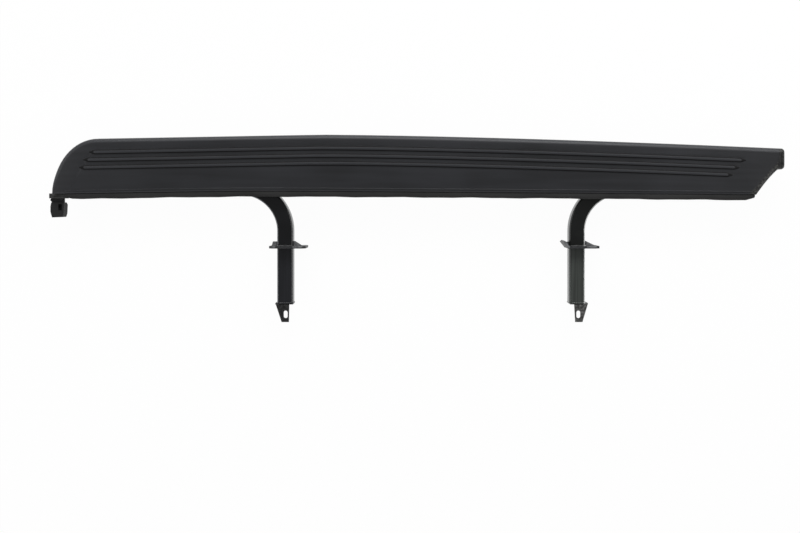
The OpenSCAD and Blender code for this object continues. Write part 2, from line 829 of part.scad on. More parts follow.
module rear_flange() {
    color([0.14, 0.15, 0.15])
        translate([rear_arm_x, 0, 0])
            difference() {
                linear_extrude(flange_height)
                    polygon([[wing_wide, flange_y], [wing_wide, flange_back],
                        [wing_inner_x(flange_back), flange_back], fold_tip + fold_side, fold_tip,
                        [-fold_root, flange_y]]);
                translate([0, flange_back + 1, 0])
                    rotate([90, 0, 0])
                        linear_extrude(flange_thick + 2) {
                            tube_window();
                            for (z = [rear_slot_low, rear_slot_low + rear_slot_spacing])
                                translate([slot_wide, z]) rotate(90) slot(slot_len, slot_width);
                            translate([wing_wide, flange_height])
                                rotate(45)
                                    square([2 * flange_corner, sqrt(2) * flange_corner],
                                        center = true);
                        }
            }
}

// Gussets between the tubes and the board side of their flanges, clear of the slots

gusset_thick = 4;
gusset_drop = 1;
front_gusset_z = tube_top - tube_corner - gusset_drop - gusset_thick;
rear_gusset_z = rear_slot_low + (rear_slot_spacing - gusset_thick) / 2;
tube_side = tube_size / 2 + weld_gap;
wing_gap = weld_gap / sin(fold_angle);
wing_weld = 10;

// On one side of a tube: foot is its width along the flange, tip its width at the far end
module gusset(side, foot, tip, reach) {
    polygon([[side * tube_side, flange_back], [side * (tube_side + foot), flange_back],
        [side * (tube_side + tip), flange_back + reach], [side * tube_side, flange_back + reach]]);
}

module front_gussets() {
    color([0.16, 0.16, 0.17])
        translate([front_arm_x, 0, front_gusset_z])
            linear_extrude(gusset_thick) {
                gusset(-1, 14, 11, 11);
                gusset(1, 24, 5, 12);
            }
}

module rear_gussets() {
    color([0.16, 0.16, 0.17])
        translate([rear_arm_x, 0, rear_gusset_z])
            linear_extrude(gusset_thick) {
                gusset(1, 28, 1, 13);
                polygon([[-tube_side, flange_back],
                    [wing_inner_x(flange_back) + wing_gap, flange_back],
                    [wing_inner_x(flange_back + wing_weld) + wing_gap, flange_back + wing_weld],
                    [-tube_side, flange_back + wing_weld]]);
            }
}

// End plates with a folded, tapering tab

end_foot = 2;
end_low = tube_lift + end_foot;
fold_inner = 3;
fold_outer = fold_inner + end_thick;
tab_slot_end = 10;
tab_slot_side = 1;
tab_shoulder = 0.5;

// Section of the folded sheet, from the foot of the plate to the tip of the tab
function fold_section() = concat(
    [[tube_end_y, end_low], [tube_end_y, tube_top - fold_outer]],
    [for (a = [0 : 15 : 90]) [tube_end_y - fold_outer + fold_outer * cos(a),
        tube_top - fold_outer + fold_outer * sin(a)]],
    [[tip_y, tube_top], [tip_y, tube_top - end_thick]],
    [for (a = [90 : -15 : 0]) [tube_end_y - fold_outer + fold_inner * cos(a),
        tube_top - fold_outer + fold_inner * sin(a)]],
    [[tube_end_y - end_thick, end_low]]);

// shift moves the plate beside its tube, and the tab runs from tab_left to tip_left
module end_bracket(shift, tab_left, tip_left) {
    left = shift - end_width / 2;
    right = shift + end_width / 2;
    root_y = tube_end_y - end_thick - tab_shoulder;
    difference() {
        intersection() {
            along_x(left, end_width) polygon(fold_section());
            linear_extrude(tube_top + 1)
                polygon([[left, tube_end_y + 1], [left, root_y], [tab_left, root_y],
                    [tip_left, tip_y - 1], [tip_left + tab_tip, tip_y - 1],
                    [tab_left + tab_root, root_y], [right, root_y], [right, tube_end_y + 1]]);
        }
        translate([tip_left + tab_tip / 2 + tab_slot_side, tip_y + tab_slot_end + tab_slot_len / 2,
            tube_top - end_thick - 1])
            linear_extrude(end_thick + 2)
                rotate(90) slot(tab_slot_len, tab_slot_width);
    }
}

module front_end_bracket() {
    color([0.17, 0.17, 0.17])
        front_place() end_bracket(-2, -23, -8);
}
module rear_end_bracket() {
    color([0.17, 0.17, 0.17])
        rear_place() end_bracket(-5, -26.5, -13);
}

// Screws that hold the cover on the rail's lip from below

screw_head_d = screw_d * 2;
screw_head = 2.6;
screw_tip_gap = 0.5;
module pan_screw(len) {
    translate([0, 0, -screw_head]) cylinder(d = screw_head_d, h = screw_head);
    cylinder(d = screw_d, h = len);
}
module cover_screws() {
    color([0.55, 0.55, 0.57])
        for (x = screw_xs)
            translate([x, boss_y, lip_top - rail_thick])
                pan_screw(rail_thick + pilot_depth - screw_tip_gap);
}
module cap_screws() {
    color([0.55, 0.55, 0.57])
        for (p = cap_screw_places)
            translate([p.x, p.y, tongue_z])
                pan_screw(cover_wall + cap_gap + cap_pilot_depth - screw_tip_gap);
}

// Steel strap under the inner corner of the nose

strap_drop = 3;
strap_top = inner_skirt_z - strap_drop;
strap_z = strap_top - strap_thick;
strap_arm = 24;
strap_len = 44;
strap_in = 10;
strap_screw_ins = [16, 34];
strap_y1 = nose_low_y + strap_len;
strap_x0 = nose_x + cover_wall + strap_in;
strap_x1 = strap_x0 + strap_arm;
strap_screw_x = strap_x0 + strap_arm / 2;
strap_screw_places = [for (d = strap_screw_ins) [strap_screw_x, nose_low_y + d]];
clip_side = 3;
clip_x0 = front_x + clip_side;
clip_x1 = clip_x0 + clip_width;
clip_y1 = nose_low_y - 3;
clip_y0 = nose_low_y - clip_len;
strap_foot_y = clip_y0 + 16;
strap_foot_x0 = clip_x0 + 5;
strap_foot_x1 = clip_x1 - 2;
clip_screw_place = [clip_x1 - 7, clip_y1 - 9];

module strap_bosses() {
    for (p = strap_screw_places)
        translate([p.x, p.y, strap_top])
            cylinder(d = boss_d, h = deck_under - strap_top + join);
}

module clip_strap() {
    color([0.3, 0.3, 0.31])
        difference() {
            translate([0, 0, strap_z])
                linear_extrude(strap_thick)
                    polygon([[strap_x0, strap_y1], [strap_x1, strap_y1], [strap_x1, nose_low_y + 4],
                        [strap_foot_x1, clip_y1 - 4], [strap_foot_x1, strap_foot_y],
                        [strap_foot_x0, strap_foot_y], [strap_foot_x0, clip_y1 - 8],
                        [strap_x0, nose_low_y + 6]]);
            for (p = concat(strap_screw_places, [clip_screw_place]))
                screw_hole(p.x, p.y, strap_z, strap_thick + 1);
        }
}

// Moulded hook: a neck on the strap, a body with a pocket in its top and a small side barb
clip_rise = 8;
clip_crown = 4;
neck_top = strap_top + clip_rise;
neck_y = clip_y1 - 18;
body_low = neck_top + clip_crown - clip_height;
strap_fit = 0.3;
pocket_depth = 3;
clip_wall = 5;

module clip_body() {
    translate([clip_x0 + clip_side, neck_y - 1, strap_top])
        cube([clip_width - clip_side - 1, clip_y1 - neck_y + 1, clip_rise]);
    translate([0, 0, body_low])
        linear_extrude(clip_height)
            polygon([[clip_x0, clip_y0 + 14], [clip_x0 + 4, clip_y0], [clip_x1 - 4, clip_y0 + 1],
                [clip_x1 - 1, clip_y0 + 10], [clip_x1, neck_y - 6], [clip_x1 - 3, neck_y],
                [clip_x0 + 2, neck_y], [clip_x0, neck_y - 10]]);
    translate([0, 0, strap_top])
        linear_extrude(clip_rise - 2)
            polygon([[front_x, clip_y1 - 12], [clip_x0 + 4, clip_y1 - 2],
                [clip_x0 + 4, clip_y1 - 20]]);
}
module front_clip() {
    color([0.09, 0.09, 0.1])
        difference() {
            clip_body();
            // room for the strap
            translate([strap_foot_x0 - strap_fit, strap_foot_y - strap_fit, strap_z - strap_fit])
                cube([strap_foot_x1 - strap_foot_x0 + 2 * strap_fit, clip_len,
                    strap_thick + strap_fit]);
            // pocket in the top, and the hook's mouth below the strap
            translate([clip_x1 - clip_width / 2 + 3, clip_y0 + 18, neck_top - pocket_depth])
                cube([clip_width / 2 - 3 - clip_wall, neck_y - clip_y0 - 22,
                    pocket_depth + clip_crown + 1]);
            translate([clip_x0 + clip_wall, clip_y0 + 2 * clip_wall, body_low - 1])
                cube([clip_width - 2 * clip_wall, clip_len, strap_z - body_low - pocket_depth]);
            screw_hole(clip_screw_place.x, clip_screw_place.y, strap_top, clip_rise + 1);
        }
}

module clip_screw() {
    color([0.75, 0.75, 0.77])
        translate([clip_screw_place.x, clip_screw_place.y, neck_top])
            mirror([0, 0, 1]) pan_screw(clip_rise + strap_thick + 2);
}
module strap_screws() {
    color([0.55, 0.55, 0.57])
        for (p = strap_screw_places)
            translate([p.x, p.y, strap_z])
                pan_screw(strap_thick + pilot_depth - screw_tip_gap);
}

tread_cover();
sill_seal();
rear_end_cap();
support_rail();
front_arm();
rear_arm();
front_flange();
rear_flange();
front_gussets();
rear_gussets();
front_end_bracket();
rear_end_bracket();
front_saddle();
rear_saddle();
front_bolts();
rear_bolts();
front_washers();
rear_washers();
front_nuts();
rear_nuts();
front_plug();
rear_plug();
cover_screws();
cap_screws();
front_clip();
clip_screw();
clip_strap();
strap_screws();
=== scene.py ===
import math

import bmesh
import bpy
from mathutils import Matrix, Vector


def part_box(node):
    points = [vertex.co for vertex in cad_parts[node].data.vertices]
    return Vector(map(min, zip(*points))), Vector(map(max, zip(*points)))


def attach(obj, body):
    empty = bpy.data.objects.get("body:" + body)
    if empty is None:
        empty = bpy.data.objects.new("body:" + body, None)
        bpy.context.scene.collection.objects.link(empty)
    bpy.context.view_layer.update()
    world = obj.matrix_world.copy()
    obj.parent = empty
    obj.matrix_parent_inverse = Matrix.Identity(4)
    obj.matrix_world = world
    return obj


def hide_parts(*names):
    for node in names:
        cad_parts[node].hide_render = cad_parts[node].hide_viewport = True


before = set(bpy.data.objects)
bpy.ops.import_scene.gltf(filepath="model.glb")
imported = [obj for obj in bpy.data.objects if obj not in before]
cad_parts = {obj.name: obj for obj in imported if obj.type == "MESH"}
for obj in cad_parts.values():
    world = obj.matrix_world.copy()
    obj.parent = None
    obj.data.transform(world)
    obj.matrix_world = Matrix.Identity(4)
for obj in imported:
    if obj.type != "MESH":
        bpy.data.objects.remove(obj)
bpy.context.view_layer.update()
print("frame loaded:", len(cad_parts), "nodes")

mm = 0.001
metreMm = 1000
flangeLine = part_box("front_flange")[0].y  # the flanges' faces towards the car


# helpers

def toLinear(hexColour):
    # an sRGB hex value to the linear colour that a socket takes, by the curve of sRGB
    channels = [int(hexColour[i:i + 2], 16) / 255 for i in (1, 3, 5)]
    linear = [c / 12.92 if c <= 0.04045 else ((c + 0.055) / 1.055) ** 2.4 for c in channels]
    return (*linear, 1.0)


def addNode(tree, kind, settings=None, inputs=None):
    # inputs holds plain values, or a pair of a node and the name or number of its output
    node = tree.nodes.new("ShaderNode" + kind)
    for name, value in (settings or {}).items():
        setattr(node, name, value)
    for name, value in (inputs or {}).items():
        socket = node.inputs[name]
        if isinstance(value, tuple) and len(value) == 2 and hasattr(value[0], "outputs"):
            tree.links.new(value[0].outputs[value[1]], socket)
        else:
            socket.default_value = value
    return node


def rampStops(node, stops):
    # the two stops of a new colour ramp, each a place and a hex colour
    for element, (place, colour) in zip(node.color_ramp.elements, stops):
        element.position = place
        element.color = toLinear(colour)


def newMaterial(name, sockets):
    # a surface with its fixed values, and the object's own coordinates for its patterns
    material = bpy.data.materials.new(name)
    material.use_nodes = True
    tree = material.node_tree
    tree.nodes.clear()
    out = addNode(tree, "OutputMaterial")
    shader = addNode(tree, "BsdfPrincipled", inputs=sockets)
    tree.links.new(shader.outputs["BSDF"], out.inputs["Surface"])
    place = addNode(tree, "TexCoord")
    return material, tree, shader, (place, "Object")


def scaleFor(sizeMm):
    # noise repeats about once a unit, so this makes one blotch as wide as sizeMm
    return metreMm / sizeMm


# materials

# The real grain is about 0.4 mm wide and the specks of the cut about 1 mm. A pixel of the
# render is 2.5 mm, so the grain is drawn coarser, and the specks as coarse as they need to show.
coverLook = {
    "roughness": 0.48, "ior": 1.49,
    "deck": "#1a1b1e", "deckLight": "#28292d", "deckFrom": 0.38, "deckTo": 0.66,
    "blotchMm": 200, "streakMm": 14, "streakStretch": (0.06, 1, 1), "streakShare": 0.4,
    # a painted highlight on the rolled edges, then painted shade on the sides of the ribs and a
    # painted highlight on their tops
    "rollHighlight": "#303135", "rollMm": 12, "rollFull": 0.5, "leanFrom": 0.05, "leanTo": 0.35,
    "ribSideShade": "#050506", "ribTopHighlight": "#2d2e32", "ribMm": 3, "ribStartMm": 110,
    "sideFromMm": 0.05, "sideToMm": 0.4, "topFrom": 0.78, "topTo": 0.95,
    "sideRoughness": 0.95, "grainMm": 1.6, "grainStrength": 0.12, "grainDepthMm": 0.15,
    "cutPastSealMm": 3, "cutShortOfCapMm": 14, "cutBandMm": 17, "cutFull": 0.6,
    "speckDark": "#0b0b0c", "speckPale": "#42423f", "speckFrom": 0.44, "speckTo": 0.58,
    "speckMm": 5, "speckStretch": (1, 1, 1), "tornStrength": 0.5, "tornDepthMm": 0.8,
}


def mouldedPolypropylene(name, look, treadTop, edgeStart, edgeEnd):
    # talc-filled polypropylene from a grained mould: a dull charcoal with a soft sheen and
    # faint flow marks; a painted highlight on the rolled edges and rib tops, painted shade on
    # the rib sides, which are also rougher, and the end from edgeStart to edgeEnd is rough
    # and speckled
    material, tree, shader, place = newMaterial(name, {"IOR": look["ior"]})
    blotch = addNode(tree, "TexNoise", inputs={"Vector": place, "Detail": 2.0,
                     "Scale": scaleFor(look["blotchMm"])})
    flow = addNode(tree, "Mapping", inputs={"Vector": place, "Scale": look["streakStretch"]})
    streak = addNode(tree, "TexNoise", inputs={"Vector": (flow, "Vector"), "Detail": 3.0,
                     "Scale": scaleFor(look["streakMm"])})
    both = addNode(tree, "Mix", {"data_type": "FLOAT"}, {"Factor": look["streakShare"],
                   "A": (blotch, "Fac"), "B": (streak, "Fac")})
    tone = addNode(tree, "ValToRGB", inputs={"Fac": (both, "Result")})
    rampStops(tone, [(look["deckFrom"], look["deck"]), (look["deckTo"], look["deckLight"])])

    # rolled edges get a painted highlight: what leans to either side, no lower than the roll,
    # and not on the bead
    surface = addNode(tree, "NewGeometry")
    facing = addNode(tree, "SeparateXYZ", inputs={"Vector": (surface, "Normal")})
    spot = addNode(tree, "SeparateXYZ", inputs={"Vector": place})
    lean = addNode(tree, "Math", {"operation": "ABSOLUTE"}, {0: (facing, "Y")})
    leaning = addNode(tree, "MapRange", {"interpolation_type": "SMOOTHSTEP"},
                      {"Value": (lean, "Value"), "From Min": look["leanFrom"],
                       "From Max": look["leanTo"]})
    rolled = addNode(tree, "MapRange", inputs={"Value": (spot, "Z"),
                     "From Min": treadTop - look["rollMm"] * mm,
                     "From Max": treadTop - look["rollFull"] * look["rollMm"] * mm})
    plain = addNode(tree, "Math", {"operation": "LESS_THAN"},
                    {0: (spot, "Z"), 1: treadTop + look["sideFromMm"] * mm})
    onRoll = addNode(tree, "Math", {"operation": "MULTIPLY"},
                     {0: (rolled, "Result"), 1: (plain, "Value")})
    rollHighlight = addNode(tree, "Math", {"operation": "MULTIPLY"},
                     {0: (leaning, "Result"), 1: (onRoll, "Value")})
    withRollHighlight = addNode(tree, "Mix", {"data_type": "RGBA"}, {"Factor": (rollHighlight, "Value"),
                    6: (tone, "Color"), 7: toLinear(look["rollHighlight"])})

    # ribs, outward of the fine bead: painted shade on the sides, which are also rougher, and a
    # painted highlight on the tops
    raised = addNode(tree, "MapRange", inputs={"Value": (spot, "Z"),
                     "From Min": treadTop + look["sideFromMm"] * mm,
                     "From Max": treadTop + look["sideToMm"] * mm})
    outer = addNode(tree, "Math", {"operation": "GREATER_THAN"},
                    {0: (spot, "Y"), 1: look["ribStartMm"] * mm})
    sides = addNode(tree, "Math", {"operation": "MULTIPLY"},
                    {0: (raised, "Result"), 1: (outer, "Value")})
    withSideShade = addNode(tree, "Mix", {"data_type": "RGBA"}, {"Factor": (sides, "Value"),
                    6: (withRollHighlight, 2), 7: toLinear(look["ribSideShade"])})
    tops = addNode(tree, "MapRange", {"interpolation_type": "SMOOTHSTEP"},
                   {"Value": (spot, "Z"),
                    "From Min": treadTop + look["topFrom"] * look["ribMm"] * mm,
                    "From Max": treadTop + look["topTo"] * look["ribMm"] * mm})
    ribbed = addNode(tree, "Mix", {"data_type": "RGBA"}, {"Factor": (tops, "Result"),
                     6: (withSideShade, 2), 7: toLinear(look["ribTopHighlight"])})
    # the shaded sides, short of the tops, are also made rougher
    shadedSideShare = addNode(tree, "Math", {"operation": "SUBTRACT", "use_clamp": True},
                   {0: (sides, "Value"), 1: (tops, "Result")})
    dull = addNode(tree, "MapRange", inputs={"Value": (shadedSideShare, "Value"),
                   "To Min": look["roughness"], "To Max": look["sideRoughness"]})

    # rough band along the line from edgeStart to edgeEnd: it fades in from cutBandMm inside
    # the line, and is full from cutFull of that width
    along = (edgeEnd - edgeStart).normalized()
    across = Vector((along.y, -along.x, 0))
    offset = addNode(tree, "VectorMath", {"operation": "SUBTRACT"}, {0: place, 1: edgeStart})
    away = addNode(tree, "VectorMath", {"operation": "DOT_PRODUCT"},
                   {0: (offset, "Vector"), 1: across})
    band = addNode(tree, "MapRange", {"interpolation_type": "SMOOTHSTEP"},
                   {"Value": (away, "Value"), "From Min": -look["cutBandMm"] * mm,
                    "From Max": -look["cutFull"] * look["cutBandMm"] * mm})
    stretch = addNode(tree, "Mapping", inputs={"Vector": place, "Scale": look["speckStretch"]})
    specks = addNode(tree, "TexNoise", inputs={"Vector": (stretch, "Vector"), "Detail": 3.0,
                     "Roughness": 0.7, "Scale": scaleFor(look["speckMm"])})
    speckled = addNode(tree, "ValToRGB", inputs={"Fac": (specks, "Fac")})
    rampStops(speckled, [(look["speckFrom"], look["speckDark"]),
                         (look["speckTo"], look["speckPale"])])
    rough = addNode(tree, "Mix", {"data_type": "RGBA"}, {"Factor": (band, "Result"),
                    6: (ribbed, 2), 7: (speckled, "Color")})

    grain = addNode(tree, "TexVoronoi", {"feature": "SMOOTH_F1"},
                    {"Vector": place, "Scale": scaleFor(look["grainMm"])})
    bump = addNode(tree, "Bump", inputs={"Height": (grain, "Distance"),
                   "Strength": look["grainStrength"], "Distance": look["grainDepthMm"] * mm})
    torn = addNode(tree, "Math", {"operation": "MULTIPLY"},
                   {0: (specks, "Fac"), 1: (band, "Result")})
    tornBump = addNode(tree, "Bump", inputs={"Height": (torn, "Value"),
                       "Strength": look["tornStrength"], "Distance": look["tornDepthMm"] * mm,
                       "Normal": (bump, "Normal")})
    tree.links.new(rough.outputs[2], shader.inputs["Base Color"])
    tree.links.new(dull.outputs["Result"], shader.inputs["Roughness"])
    tree.links.new(tornBump.outputs["Normal"], shader.inputs["Normal"])
    return material


sealLook = {
    "dark": "#212121", "pale": "#303030", "toneFrom": 0.35, "toneTo": 0.68, "ior": 1.52,
    "roughness": 0.78, "blotchMm": 34, "blotchStretch": (0.3, 1, 1), "bloomMm": 5,
    "bloomStrength": 0.3, "bloomDepthMm": 0.2,
}


def extrudedRubber(name, look):
    # extruded EPDM rubber: soft grey with a chalky bloom, no gloss
    material, tree, shader, place = newMaterial(name, {"Roughness": look["roughness"],
                                                       "IOR": look["ior"]})
    long = addNode(tree, "Mapping", inputs={"Vector": place, "Scale": look["blotchStretch"]})
    blotch = addNode(tree, "TexNoise", inputs={"Vector": (long, "Vector"), "Detail": 4.0,
                     "Scale": scaleFor(look["blotchMm"])})
    tone = addNode(tree, "ValToRGB", inputs={"Fac": (blotch, "Fac")})
    rampStops(tone, [(look["toneFrom"], look["dark"]), (look["toneTo"], look["pale"])])
    bloom = addNode(tree, "TexNoise", inputs={"Vector": place, "Detail": 3.0,
                    "Scale": scaleFor(look["bloomMm"])})
    bump = addNode(tree, "Bump", inputs={"Height": (bloom, "Fac"),
                   "Strength": look["bloomStrength"], "Distance": look["bloomDepthMm"] * mm})
    tree.links.new(tone.outputs["Color"], shader.inputs["Base Color"])
    tree.links.new(bump.outputs["Normal"], shader.inputs["Normal"])
    return material


# Orange peel, draw lines and the specks on the tabs are about 1 mm and less on the real
# coat. The peel is drawn coarser, and the lines and specks as coarse as they need to show.
coatLook = {
    "dark": "#17181a", "pale": "#1f2022", "toneFrom": 0.35, "toneTo": 0.7, "dustMm": 70,
    "roughness": 0.45, "ior": 1.5, "peelMm": 2.4, "peelStrength": 0.12, "peelDepthMm": 0.25,
}
# the straight colour is a painted reflection on the straight part of the arm, and the corner
# colour a painted highlight on one rounded corner
armLook = dict(
    coatLook, dark="#0d0e10", pale="#17181b", roughness=0.27, straight="#242529",
    lineMm=5, lineStretch=(1, 0.02, 1), lineFrom=0.35, lineTo=0.65, lineLeast=0.5,
    straightBlendMm=2, corner="#7a7c80", cornerSide=-1,
    # how far the rounded corner faces sideways, and up at its lower and upper end
    cornerAside=(0.1, 0.3), cornerLower=(0.2, 0.4), cornerUpper=(0.8, 0.96),
)
# on the rear arm the painted reflection is paler and greenish, and the painted highlight brighter
rearArmLook = dict(armLook, dark="#101211", pale="#1a1c1b", straight="#464a47",
                   corner="#d0d2d0", cornerSide=1)
frontTabLook = dict(coatLook, dark="#060606", pale="#303030", roughness=0.55, peelMm=2.0,
                    dustMm=6, toneFrom=0.44, toneTo=0.62)
rearTabLook = dict(frontTabLook, dark="#313130", pale="#6a6a68")
plateLook = dict(
    coatLook, dark="#1c1d1f", pale="#2a2b2e", roughness=0.5, dustMm=24,
    edge="#7b7c7e", edgeMm=6, edgeFrom=0.3, edgeTo=0.6, edgeLeast=0.35,
    edgeUp=(0.75, 0.95),  # how far a face has to face up to be paler
    tubeMm=21, tubeBlendMm=2, tubeLeast=0.1, backMm=2.4, backBlendMm=1, backLeast=0.15,
)


def tubeLinesAndPaintedLight(tree, place, colour, look):
    # fine lines along the drawn tube, which runs along Y here, and a painted reflection on the
    # straight part past the flange, paler and streaked by the lines
    along = addNode(tree, "Mapping", inputs={"Vector": place, "Scale": look["lineStretch"]})
    lines = addNode(tree, "TexNoise", inputs={"Vector": (along, "Vector"), "Detail": 2.0,
                    "Scale": scaleFor(look["lineMm"])})
    apart = addNode(tree, "SeparateXYZ", inputs={"Vector": place})
    past = addNode(tree, "MapRange", {"interpolation_type": "SMOOTHSTEP"},
                   {"Value": (apart, "Y"), "To Min": 1.0, "To Max": 0.0,
                    "From Min": flangeLine - look["straightBlendMm"] * mm,
                    "From Max": flangeLine + look["straightBlendMm"] * mm})
    strong = addNode(tree, "MapRange", inputs={"Value": (lines, "Fac"),
                     "From Min": look["lineFrom"], "From Max": look["lineTo"],
                     "To Min": look["lineLeast"]})
    share = addNode(tree, "Math", {"operation": "MULTIPLY"},
                    {0: (past, "Result"), 1: (strong, "Result")})
    straightReflected = addNode(tree, "Mix", {"data_type": "RGBA"}, {"Factor": (share, "Value"),
                     6: colour, 7: toLinear(look["straight"])})

    # a painted highlight on the rounded corner of one side of the tube
    surface = addNode(tree, "NewGeometry")
    facing = addNode(tree, "SeparateXYZ", inputs={"Vector": (surface, "Normal")})
    offTop = addNode(tree, "MapRange", inputs={"Value": (facing, "Z"),
                     "From Min": look["cornerUpper"][0], "From Max": look["cornerUpper"][1],
                     "To Min": 1.0, "To Max": 0.0})
    offSide = addNode(tree, "MapRange", inputs={"Value": (facing, "Z"),
                      "From Min": look["cornerLower"][0], "From Max": look["cornerLower"][1]})
    sideways = addNode(tree, "Math", {"operation": "MULTIPLY"},
                       {0: (facing, "X"), 1: look["cornerSide"]})
    oneSide = addNode(tree, "MapRange", inputs={"Value": (sideways, "Value"),
                      "From Min": look["cornerAside"][0], "From Max": look["cornerAside"][1]})
    rounded = addNode(tree, "Math", {"operation": "MULTIPLY"},
                      {0: (offTop, "Result"), 1: (offSide, "Result")})
    corner = addNode(tree, "Math", {"operation": "MULTIPLY"},
                     {0: (rounded, "Value"), 1: (oneSide, "Result")})
    mixed = addNode(tree, "Mix", {"data_type": "RGBA"}, {"Factor": (corner, "Value"),
                    6: (straightReflected, 2), 7: toLinear(look["corner"])})
    return mixed, 2


def paleTopPlate(tree, place, colour, look):
    # paler on what faces up beside the tube, short of the back edge, in uneven patches
    surface = addNode(tree, "NewGeometry")
    facing = addNode(tree, "SeparateXYZ", inputs={"Vector": (surface, "Normal")})
    upper = addNode(tree, "MapRange", inputs={"Value": (facing, "Z"),
                    "From Min": look["edgeUp"][0], "From Max": look["edgeUp"][1]})
    apart = addNode(tree, "SeparateXYZ", inputs={"Vector": place})
    aside = addNode(tree, "Math", {"operation": "SUBTRACT"}, {0: (apart, "X"), 1: look["tubeX"]})
    reach = addNode(tree, "Math", {"operation": "ABSOLUTE"}, {0: (aside, "Value")})
    beside = addNode(tree, "MapRange", inputs={"Value": (reach, "Value"),
                     "From Min": look["tubeMm"] * mm,
                     "From Max": (look["tubeMm"] + look["tubeBlendMm"]) * mm,
                     "To Min": look["tubeLeast"]})
    inward = addNode(tree, "MapRange", inputs={"Value": (apart, "Y"),
                     "From Min": flangeLine + (look["backMm"] - look["backBlendMm"]) * mm,
                     "From Max": flangeLine + (look["backMm"] + look["backBlendMm"]) * mm,
                     "To Min": look["backLeast"]})
    patch = addNode(tree, "TexNoise", inputs={"Vector": place, "Detail": 4.0,
                    "Scale": scaleFor(look["edgeMm"])})
    uneven = addNode(tree, "MapRange", inputs={"Value": (patch, "Fac"),
                     "From Min": look["edgeFrom"], "From Max": look["edgeTo"],
                     "To Min": look["edgeLeast"]})
    paleUp = addNode(tree, "Math", {"operation": "MULTIPLY"},
                    {0: (upper, "Result"), 1: (uneven, "Result")})
    near = addNode(tree, "Math", {"operation": "MULTIPLY"},
                   {0: (beside, "Result"), 1: (inward, "Result")})
    share = addNode(tree, "Math", {"operation": "MULTIPLY"},
                    {0: (paleUp, "Value"), 1: (near, "Value")})
    mixed = addNode(tree, "Mix", {"data_type": "RGBA"}, {"Factor": (share, "Value"),
                    6: colour, 7: toLinear(look["edge"])})
    return mixed, 2


def powderCoat(name, look):
    # baked powder coat on steel: black with a soft shine and a fine orange-peel texture;
    # on the tabs it is thin and speckled
    material, tree, shader, place = newMaterial(name, {"Roughness": look["roughness"],
                                                       "IOR": look["ior"]})
    dust = addNode(tree, "TexNoise", inputs={"Vector": place, "Detail": 5.0,
                   "Roughness": 0.6, "Scale": scaleFor(look["dustMm"])})
    tone = addNode(tree, "ValToRGB", inputs={"Fac": (dust, "Fac")})
    rampStops(tone, [(look["toneFrom"], look["dark"]), (look["toneTo"], look["pale"])])
    colour = (tone, "Color")
    # on the arms: a painted reflection on the straight part and a painted highlight on one
    # rounded corner
    if "straight" in look:
        colour = tubeLinesAndPaintedLight(tree, place, colour, look)
    # on the flanges and gussets: paler on what faces up beside the tube
    if "edge" in look:
        colour = paleTopPlate(tree, place, colour, look)
    peel = addNode(tree, "TexNoise", inputs={"Vector": place, "Detail": 1.0,
                   "Scale": scaleFor(look["peelMm"])})
    bump = addNode(tree, "Bump", inputs={"Height": (peel, "Fac"),
                   "Strength": look["peelStrength"], "Distance": look["peelDepthMm"] * mm})
    tree.links.new(colour[0].outputs[colour[1]], shader.inputs["Base Color"])
    tree.links.new(bump.outputs["Normal"], shader.inputs["Normal"])
    return material


zincLook = {"dull": "#9a9ca0", "bright": "#c6c9cc", "toneFrom": 0.35, "toneTo": 0.7,
            "roughness": 0.36, "cloudMm": 3.5}


def zincPlate(name, look):
    # electroplated zinc with a clear passivate: pale grey metal, slightly cloudy
    material, tree, shader, place = newMaterial(name, {"Roughness": look["roughness"],
                                                       "Metallic": 1.0})
    cloud = addNode(tree, "TexNoise", inputs={"Vector": place, "Detail": 3.0,
                    "Scale": scaleFor(look["cloudMm"])})
    tone = addNode(tree, "ValToRGB", inputs={"Fac": (cloud, "Fac")})
    rampStops(tone, [(look["toneFrom"], look["dull"]), (look["toneTo"], look["bright"])])
    tree.links.new(tone.outputs["Color"], shader.inputs["Base Color"])
    return material


# the real grain is about 0.4 mm wide, finer than a pixel, so it is drawn coarser
nylonLook = {
    "dark": "#020203", "pale": "#0d0d0f", "toneFrom": 0.4, "toneTo": 0.75, "ior": 1.53,
    "roughness": 0.75, "swirlMm": 17.6, "swirlTwist": 1.2, "grainMm": 2.2,
    "grainStrength": 0.2, "grainDepthMm": 0.15,
}


def glassFilledNylon(name, look):
    # moulded nylon with glass fibre: near-black with faint swirls from the fibres
    material, tree, shader, place = newMaterial(name, {"Roughness": look["roughness"],
                                                       "IOR": look["ior"]})
    swirl = addNode(tree, "TexNoise", inputs={"Vector": place, "Detail": 4.0,
                    "Distortion": look["swirlTwist"], "Scale": scaleFor(look["swirlMm"])})
    tone = addNode(tree, "ValToRGB", inputs={"Fac": (swirl, "Fac")})
    rampStops(tone, [(look["toneFrom"], look["dark"]), (look["toneTo"], look["pale"])])
    grain = addNode(tree, "TexNoise", inputs={"Vector": place, "Detail": 2.0,
                    "Scale": scaleFor(look["grainMm"])})
    bump = addNode(tree, "Bump", inputs={"Height": (grain, "Fac"),
                   "Strength": look["grainStrength"], "Distance": look["grainDepthMm"] * mm})
    tree.links.new(tone.outputs["Color"], shader.inputs["Base Color"])
    tree.links.new(bump.outputs["Normal"], shader.inputs["Normal"])
    return material


